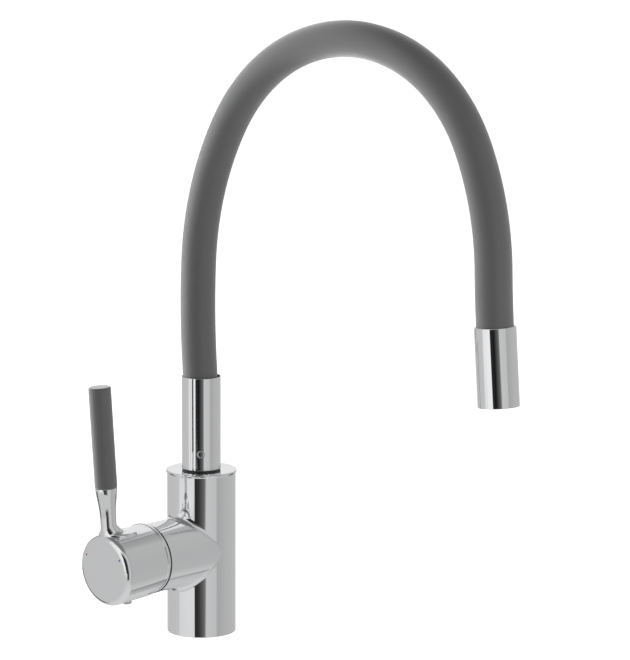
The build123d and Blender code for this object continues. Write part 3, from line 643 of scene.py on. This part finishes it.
class TAP_OT_fittings(bpy.types.Operator):
    """Glide ring, plug, aerator, gasket and marks"""

    bl_idname = "tap.fittings"
    bl_label = "Small fittings"

    def execute(self, context):
        dress(FITTINGS)
        return {"FINISHED"}


class TAP_OT_inner(bpy.types.Operator):
    """Give every construction node its finish, which stays on those that lie inside"""

    bl_idname = "tap.inner"
    bl_label = "Inner pieces"

    def execute(self, context):
        for node, piece in frame["nodes"].items():
            piece.data.materials.clear()
            piece.data.materials.append(FINISHES[SLOTS[node]])
        return {"FINISHED"}


class TAP_OT_finishes(bpy.types.Operator):
    """Make every finish"""

    bl_idname = "tap.finishes"
    bl_label = "Finishes"

    def execute(self, context):
        FINISHES.clear()
        FINISHES.update(make_materials())
        return {"FINISHED"}


# Stage: camera, floor, studio light. The camera's place is in metres, its lens and sensor in millimetres

CAMERA_AZIMUTH = math.radians(46.0)
CAMERA_DISTANCE = 2.2345
CAMERA_HEIGHT = 0.59339
CAMERA_YAW = math.radians(2.043)
CAMERA_PITCH = math.radians(9.588)
CAMERA_ROLL = math.radians(0.277)
CAMERA_LENS = 176.483
SENSOR = 36.0

# What polished metal sees: the room's tone by bearing, then panels laid over it. Each panel has bearings
# with its share there, heights with its share there, and its tone. Bearings are degrees round the tap,
# from 0 at the camera over the right to 180 behind the tap, and heights are degrees above the horizon
ROOM = (
    (-180, 0.55), (-100, 0.58), (-80, 0.61), (-30, 0.60), (-14, 0.62), (14, 0.62),
    (50, 0.58), (54, 0.43), (90, 0.50), (135, 0.53), (180, 0.55),
)
ALL_ROUND = ((-180, 1.0), (180, 1.0))
PANELS = {
    "left softbox": (
        ((-81, 0.0), (-76, 0.75), (-57, 0.9), (-40, 1.0), (-16, 1.0), (-12, 0.0)),
        ((-20, 0.0), (-16, 0.42), (-14.4, 0.52), (-12.5, 0.85), (-11, 1.0), (90, 1.0)),
        0.96,
    ),
    "line in the softbox": (
        ((-69, 0.0), (-67.5, 0.75), (-66, 0.0)),
        ((-13.4, 0.0), (-12.4, 1.0), (-9.6, 1.0), (-9.0, 0.0)),
        0.1,
    ),
    "backdrop": (
        ((-180, 1.0), (-156, 1.0), (-152, 0.0), (152, 0.0), (156, 1.0), (180, 1.0)),
        ((-25, 0.0), (-18, 1.0), (55, 1.0), (65, 0.6), (90, 0.6)),
        0.86,
    ),
    "edges of the backdrop": (
        (
            (-158, 0.0), (-153, 0.85), (-148, 0.85), (-141, 0.0),
            (141, 0.0), (148, 0.85), (153, 0.85), (158, 0.0),
        ),
        ((-5, 0.0), (2, 1.0), (60, 1.0), (75, 0.0)),
        0.06,
    ),
    "curtain": (
        ((-24, 0.0), (-22, 1.0), (-8, 0.95), (6, 0.82), (12, 0.68), (16, 0.0)),
        ((-27, 0.0), (-24, 1.0), (30, 1.0), (38, 0.0)),
        0.012,
    ),
    "upper curtain": (
        ((-36, 0.0), (-34, 1.0), (-14, 0.97), (-8, 0.0)),
        ((-12.8, 0.0), (-12.0, 1.0), (30, 1.0), (38, 0.0)),
        0.012,
    ),
    "bright floor": (ALL_ROUND, ((-90, 1.0), (-50, 0.8), (-30, 0.0)), 0.72),
    "flags at the sides": (
        (
            (-136, 0.0), (-130, 0.8), (-108, 0.85), (-106, 0.0),
            (112, 0.0), (114, 0.85), (134, 0.8), (141, 0.0),
        ),
        ((-50, 0.0), (-40, 1.0), (-18, 1.0), (-15.5, 0.0)),
        0.04,
    ),
    "dim ceiling": (ALL_ROUND, ((44, 0.0), (62, 1.0), (90, 1.0)), 0.2),
}

# What everything else is lit by, by degrees above the horizon
PLAIN_HEIGHTS = ((-90, 0.7), (0, 0.75), (25, 0.42), (50, 0.15), (90, 0.1))

# Lamps: name, bearing as above, distance, height and size in metres, and power in watts
LAMPS = (
    ("left softbox", -115, 1.4, 0.3, 0.6, 26.0),
    ("front fill", 30, 1.8, 0.3, 0.6, 7.0),
    ("right fill", 90, 1.8, 0.3, 0.6, 2.0),
)
LAMP_AIM = Vector((0.1, 0, 0.2))

FLOOR_SIZE = 16.0
FLOOR_DROP = 0.1 * MM
FLOOR_PAINT = (0.72, 0.72, 0.72, 1)
WHITE = (1, 1, 1, 1)


def round_camera(bearing, distance, height):
    """A place at a bearing in degrees from the camera's, round the tap's upright axis."""
    angle = CAMERA_AZIMUTH + math.radians(bearing)
    return Vector((distance * math.sin(angle), -distance * math.cos(angle), height))


def ramp(tree, table, limit, along):
    """A value read from the rows of a table, whose places run from minus to plus the limit."""
    node = add_node(tree, "ShaderNodeValToRGB")
    stops = node.color_ramp.elements
    while len(stops) < len(table):
        stops.new(0.5)
    for stop, (place, value) in zip(stops, table):
        stop.position = (place + limit) / (2 * limit)
        stop.color = (value, value, value, 1)
    tree.links.new(along, node.inputs["Fac"])
    return node.outputs["Color"]


class TAP_OT_stage(bpy.types.Operator):
    """Camera, pale floor and studio light"""

    bl_idname = "tap.stage"
    bl_label = "Stage"

    def execute(self, context):
        self.camera(context)
        self.floor(context)
        self.world(context)
        self.lamps(context)
        context.scene.view_settings.view_transform = "Standard"
        return {"FINISHED"}

    def camera(self, context):
        place = round_camera(0, CAMERA_DISTANCE, CAMERA_HEIGHT)
        turn = (
            Matrix.Rotation(CAMERA_AZIMUTH - CAMERA_YAW, 3, "Z")
            @ Matrix.Rotation(math.pi / 2 - CAMERA_PITCH, 3, "X")
            @ Matrix.Rotation(CAMERA_ROLL, 3, "Z")
        )
        deselect()
        bpy.ops.object.camera_add(location=place, rotation=turn.to_euler())
        camera = context.object
        camera.name = "photo camera"
        camera.data.lens = CAMERA_LENS
        camera.data.sensor_width = SENSOR
        context.scene.camera = camera

    def floor(self, context):
        deselect()
        bpy.ops.mesh.primitive_plane_add(size=FLOOR_SIZE, location=UP * -FLOOR_DROP)
        floor = context.object
        floor.name = "pale floor"
        settle(floor)
        material = bpy.data.materials.new("pale floor")
        material.use_nodes = True
        tree = material.node_tree
        tree.nodes.clear()
        out = add_node(tree, "ShaderNodeOutputMaterial")
        path = add_node(tree, "ShaderNodeLightPath")
        paint = add_node(tree, "ShaderNodeBsdfDiffuse", Color=FLOOR_PAINT)
        glow = add_node(tree, "ShaderNodeEmission", Color=WHITE)
        seen = add_node(tree, "ShaderNodeAddShader")
        clear = add_node(tree, "ShaderNodeBsdfTransparent")
        to_camera = add_node(tree, "ShaderNodeMixShader")
        to_metal = add_node(tree, "ShaderNodeMixShader")
        join = tree.links.new
        join(paint.outputs["BSDF"], seen.inputs[0])
        join(glow.outputs["Emission"], seen.inputs[1])
        join(path.outputs["Is Camera Ray"], to_camera.inputs["Fac"])
        join(paint.outputs["BSDF"], to_camera.inputs[1])
        join(seen.outputs["Shader"], to_camera.inputs[2])
        join(path.outputs["Is Glossy Ray"], to_metal.inputs["Fac"])
        join(to_camera.outputs["Shader"], to_metal.inputs[1])
        join(clear.outputs["BSDF"], to_metal.inputs[2])
        join(to_metal.outputs["Shader"], out.inputs["Surface"])
        floor.data.materials.append(material)

    def world(self, context):
        world = bpy.data.worlds.new("studio")
        context.scene.world = world
        world.use_nodes = True
        tree = world.node_tree
        tree.nodes.clear()
        out = add_node(tree, "ShaderNodeOutputWorld")
        join = tree.links.new
        round_about, up_down = self.directions(tree)
        seen = ramp(tree, ROOM, 180, round_about)
        for bearings, heights, tone in PANELS.values():
            share = add_node(tree, "ShaderNodeMath", "MULTIPLY")
            join(ramp(tree, bearings, 180, round_about), share.inputs[0])
            join(ramp(tree, heights, 90, up_down), share.inputs[1])
            panel = add_node(tree, "ShaderNodeMix", B=tone)
            join(share.outputs["Value"], panel.inputs["Factor"])
            join(seen, panel.inputs["A"])
            seen = panel.outputs["Result"]
        metal = add_node(tree, "ShaderNodeBackground")
        plain = add_node(tree, "ShaderNodeBackground")
        white = add_node(tree, "ShaderNodeBackground", Color=WHITE)
        path = add_node(tree, "ShaderNodeLightPath")
        by_gloss = add_node(tree, "ShaderNodeMixShader")
        by_camera = add_node(tree, "ShaderNodeMixShader")
        join(seen, metal.inputs["Color"])
        join(ramp(tree, PLAIN_HEIGHTS, 90, up_down), plain.inputs["Color"])
        join(path.outputs["Is Glossy Ray"], by_gloss.inputs["Fac"])
        join(plain.outputs["Background"], by_gloss.inputs[1])
        join(metal.outputs["Background"], by_gloss.inputs[2])
        join(path.outputs["Is Camera Ray"], by_camera.inputs["Fac"])
        join(by_gloss.outputs["Shader"], by_camera.inputs[1])
        join(white.outputs["Background"], by_camera.inputs[2])
        join(by_camera.outputs["Shader"], out.inputs["Surface"])

    def directions(self, tree):
        """Bearing from the camera's and height above the horizon, each from 0 to 1 over its full range."""
        place = add_node(tree, "ShaderNodeTexCoord")
        split = add_node(tree, "ShaderNodeSeparateXYZ")
        bearing = add_node(tree, "ShaderNodeMath", "ARCTAN2")
        offset = add_node(tree, "ShaderNodeMath", "ADD")
        offset.inputs[1].default_value = math.pi / 2 - CAMERA_AZIMUTH
        wrap = add_node(tree, "ShaderNodeMath", "WRAP")
        wrap.inputs[1].default_value = -math.pi
        wrap.inputs[2].default_value = math.pi
        across = add_node(tree, "ShaderNodeMapRange", From_Min=-math.pi, From_Max=math.pi)
        height = add_node(tree, "ShaderNodeMath", "ARCSINE")
        upward = add_node(tree, "ShaderNodeMapRange", From_Min=-math.pi / 2, From_Max=math.pi / 2)
        join = tree.links.new
        join(place.outputs["Generated"], split.inputs["Vector"])
        join(split.outputs["Y"], bearing.inputs[0])
        join(split.outputs["X"], bearing.inputs[1])
        join(bearing.outputs["Value"], offset.inputs[0])
        join(offset.outputs["Value"], wrap.inputs[0])
        join(wrap.outputs["Value"], across.inputs["Value"])
        join(split.outputs["Z"], height.inputs[0])
        join(height.outputs["Value"], upward.inputs["Value"])
        return across.outputs["Result"], upward.outputs["Result"]

    def lamps(self, context):
        for name, bearing, distance, height, size, power in LAMPS:
            place = round_camera(bearing, distance, height)
            aim = (LAMP_AIM - place).to_track_quat("-Z", "Y").to_euler()
            deselect()
            bpy.ops.object.light_add(type="AREA", location=place, rotation=aim)
            lamp = context.object
            lamp.name = name
            lamp.data.energy = power
            lamp.data.size = size
            lamp.visible_glossy = False


class TAP_PT_panel(bpy.types.Panel):
    """Sizes, colours and steps of the tap"""

    bl_label = "Mixer Tap"
    bl_idname = "TAP_PT_panel"
    bl_space_type = "VIEW_3D"
    bl_region_type = "UI"
    bl_category = "Mixer Tap"

    def draw(self, context):
        layout = self.layout
        for group in (context.scene.tap_sizes, context.scene.tap_colours):
            box = layout.box()
            for name in group.__annotations__:
                box.prop(group, name)
        for operator in STEPS:
            layout.operator(operator.bl_idname)


STEPS = (
    TAP_OT_finishes, TAP_OT_inner, TAP_OT_castings, TAP_OT_fittings, TAP_OT_seam_shade, TAP_OT_stub, TAP_OT_screw,
    TAP_OT_hose, TAP_OT_grip, TAP_OT_stage,
)
CLASSES = (TapSizes, TapColours, *STEPS, TAP_PT_panel)


def register():
    for item in CLASSES:
        bpy.utils.register_class(item)
    bpy.types.Scene.tap_sizes = PointerProperty(type=TapSizes)
    bpy.types.Scene.tap_colours = PointerProperty(type=TapColours)


def unregister():
    del bpy.types.Scene.tap_colours
    del bpy.types.Scene.tap_sizes
    for item in reversed(CLASSES):
        bpy.utils.unregister_class(item)


def main():
    register()
    bpy.ops.tap.finishes()
    bpy.ops.tap.inner()
    bpy.ops.tap.castings()
    bpy.ops.tap.fittings()
    bpy.ops.tap.seam()
    bpy.ops.tap.stub()
    bpy.ops.tap.screw()
    bpy.ops.tap.hose()
    bpy.ops.tap.grip()
    bpy.ops.tap.stage()


if __name__ == "__main__":
    main()
